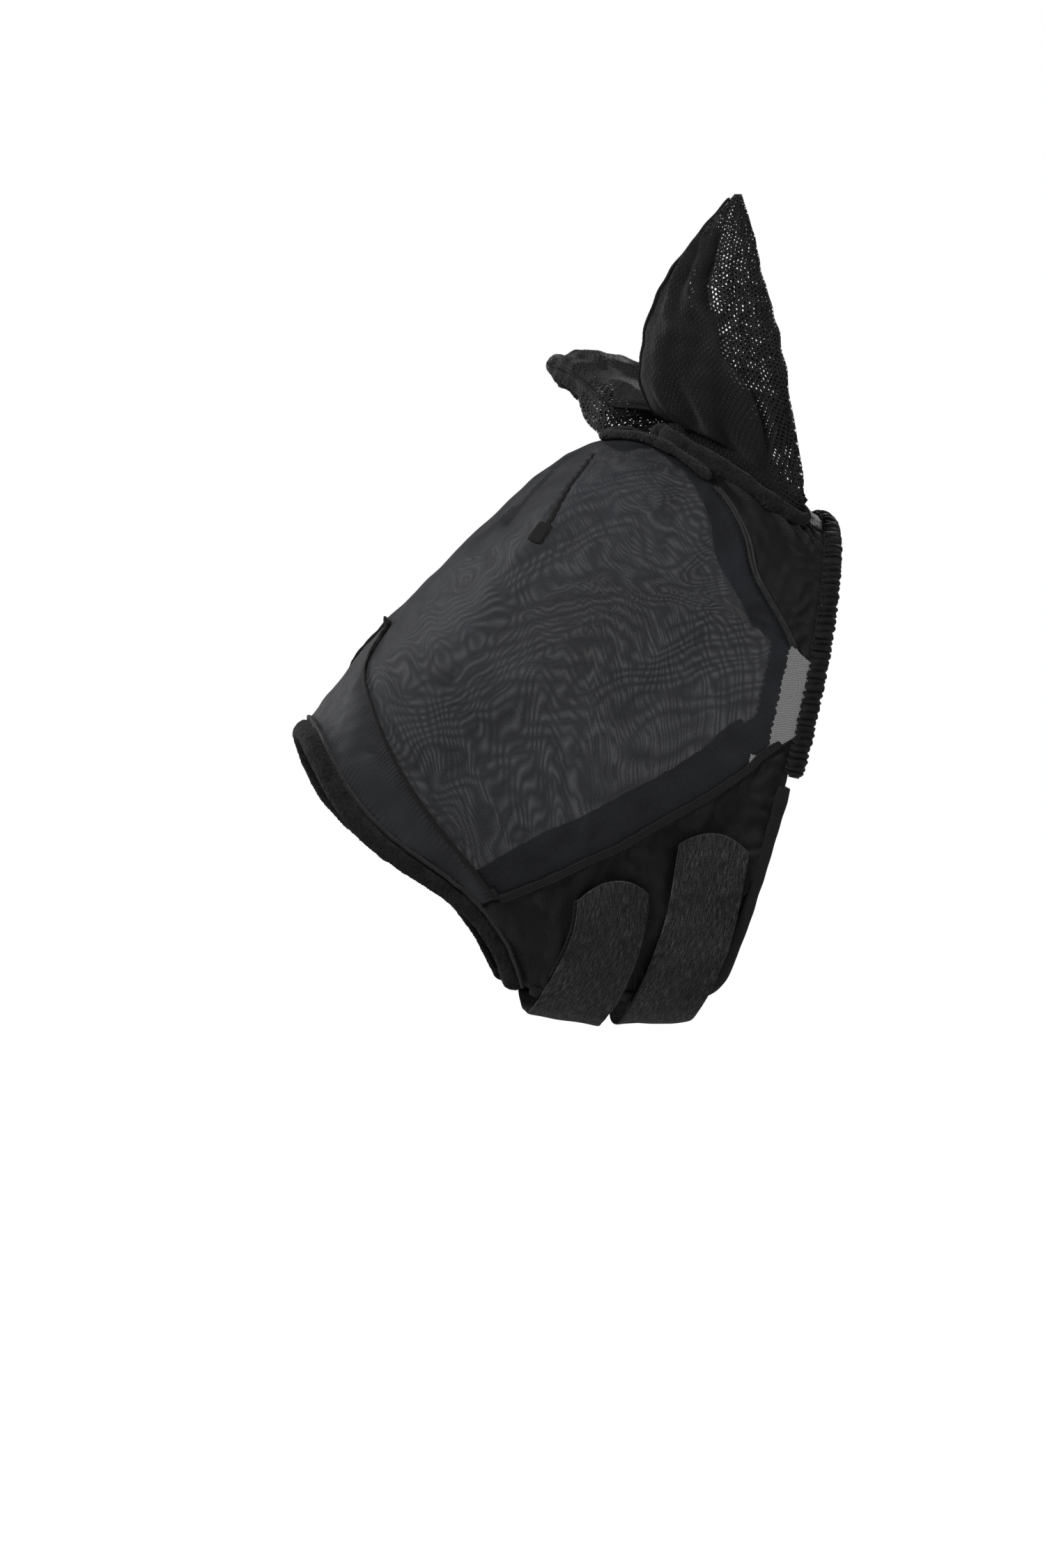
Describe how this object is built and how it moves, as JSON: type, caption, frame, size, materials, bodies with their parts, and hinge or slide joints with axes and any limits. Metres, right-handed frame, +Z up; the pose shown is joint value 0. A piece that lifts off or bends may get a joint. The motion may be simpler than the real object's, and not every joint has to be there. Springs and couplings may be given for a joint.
{
  "type": "horse fly mask",
  "caption": "Horse fly mask with domed eye mesh, smooth nose panel, knitted jaw and crown panels, soft ear covers, ruched rear edge and wide hook-and-loop straps under the jaw.",
  "frame": {"origin": "poll seat: the point on the centreline behind the ears where the mask hangs on the horse's head", "axes": "+Z up, -X the way the horse faces, -Y the horse's near (left) side"},
  "size_m": [0.3698, 0.2472, 0.5709],
  "materials": {
    "eye_mesh_net": "fine open net, faint sheen",
    "smooth_face_fabric": "smooth close-woven face, soft sheen",
    "fleece": "short napped fleece, matte",
    "knit": "warp knit, matte",
    "ear_knit": "soft knit with small round holes",
    "binding_tape": "smooth folded tape",
    "seam_tape": "flat sewn tape",
    "piping": "fabric-covered cord, slight sheen",
    "webbing": "heather grey brushed weave",
    "hook_tape": "stiff hook tape",
    "loop_tape": "brushed loop tape",
    "elastic": "flat covered elastic"
  },
  "bodies": {
    "mask": {"eye_mesh": "eye_mesh_net", "forehead_dart_near": "seam_tape", "forehead_dart_off": "seam_tape", "nose_panel": "smooth_face_fabric", "nose_panel_tape": "seam_tape", "nose_binding": "fleece", "nose_piping": "piping", "brow_band": "fleece", "jaw_panel_near": "knit", "jaw_panel_off": "knit", "jaw_seam_near": "seam_tape", "jaw_seam_off": "seam_tape", "crown_panel_near": "knit", "crown_panel_off": "knit", "poll_seam": "seam_tape", "crown_piping_near": "piping", "crown_piping_off": "piping", "ear_cuff_near": "fleece", "ear_cuff_off": "fleece", "rear_casing": "knit", "rear_elastic": "elastic", "jaw_binding_near": "binding_tape", "jaw_binding_off": "binding_tape", "front_loop_patch": "loop_tape", "rear_loop_patch": "loop_tape", "front_strap_anchor": "webbing", "rear_strap_anchor": "webbing"},
    "ear_near": {"ear_cover_near": "ear_knit", "ear_seam_near": "seam_tape"},
    "ear_off": {"ear_cover_off": "ear_knit", "ear_seam_off": "seam_tape"},
    "front_bridge": {"front_strap_bridge": "webbing"},
    "front_tab": {"front_strap_tab": "webbing", "front_hook_patch": "hook_tape"},
    "rear_bridge": {"rear_strap_bridge": "webbing"},
    "rear_tab": {"rear_strap_tab": "webbing", "rear_hook_patch": "hook_tape"}
  },
  "joints": [
    {"name": "front_strap_drop", "type": "hinge", "parent": "mask", "child": "front_bridge", "pos_m": [-0.15154, 0.03426, -0.34704], "axis": [0.9836, 0.0444, -0.1749], "range_deg": [0, 80]},
    {"name": "front_strap_peel", "type": "hinge", "parent": "front_bridge", "child": "front_tab", "pos_m": [-0.14984, -0.03449, -0.34716], "axis": [0.9661, 0.0907, -0.2418], "range_deg": [0, 150]},
    {"name": "rear_strap_drop", "type": "hinge", "parent": "mask", "child": "rear_bridge", "pos_m": [-0.08748, 0.03054, -0.3481], "axis": [0.9805, -0.1771, -0.0852], "range_deg": [0, 80]},
    {"name": "rear_strap_peel", "type": "hinge", "parent": "rear_bridge", "child": "rear_tab", "pos_m": [-0.08564, -0.03038, -0.34813], "axis": [0.9623, 0.2332, -0.1401], "range_deg": [0, 150]},
    {"name": "near_ear_fold", "type": "hinge", "parent": "mask", "child": "ear_near", "pos_m": [-0.03926, -0.0488, 0.03419], "axis": [0.799, -0.3995, -0.4494], "range_deg": [0, 66]},
    {"name": "off_ear_fold", "type": "hinge", "parent": "mask", "child": "ear_off", "pos_m": [-0.03926, 0.0488, 0.03419], "axis": [0.799, 0.3995, -0.4494], "range_deg": [0, 66]}
  ]
}
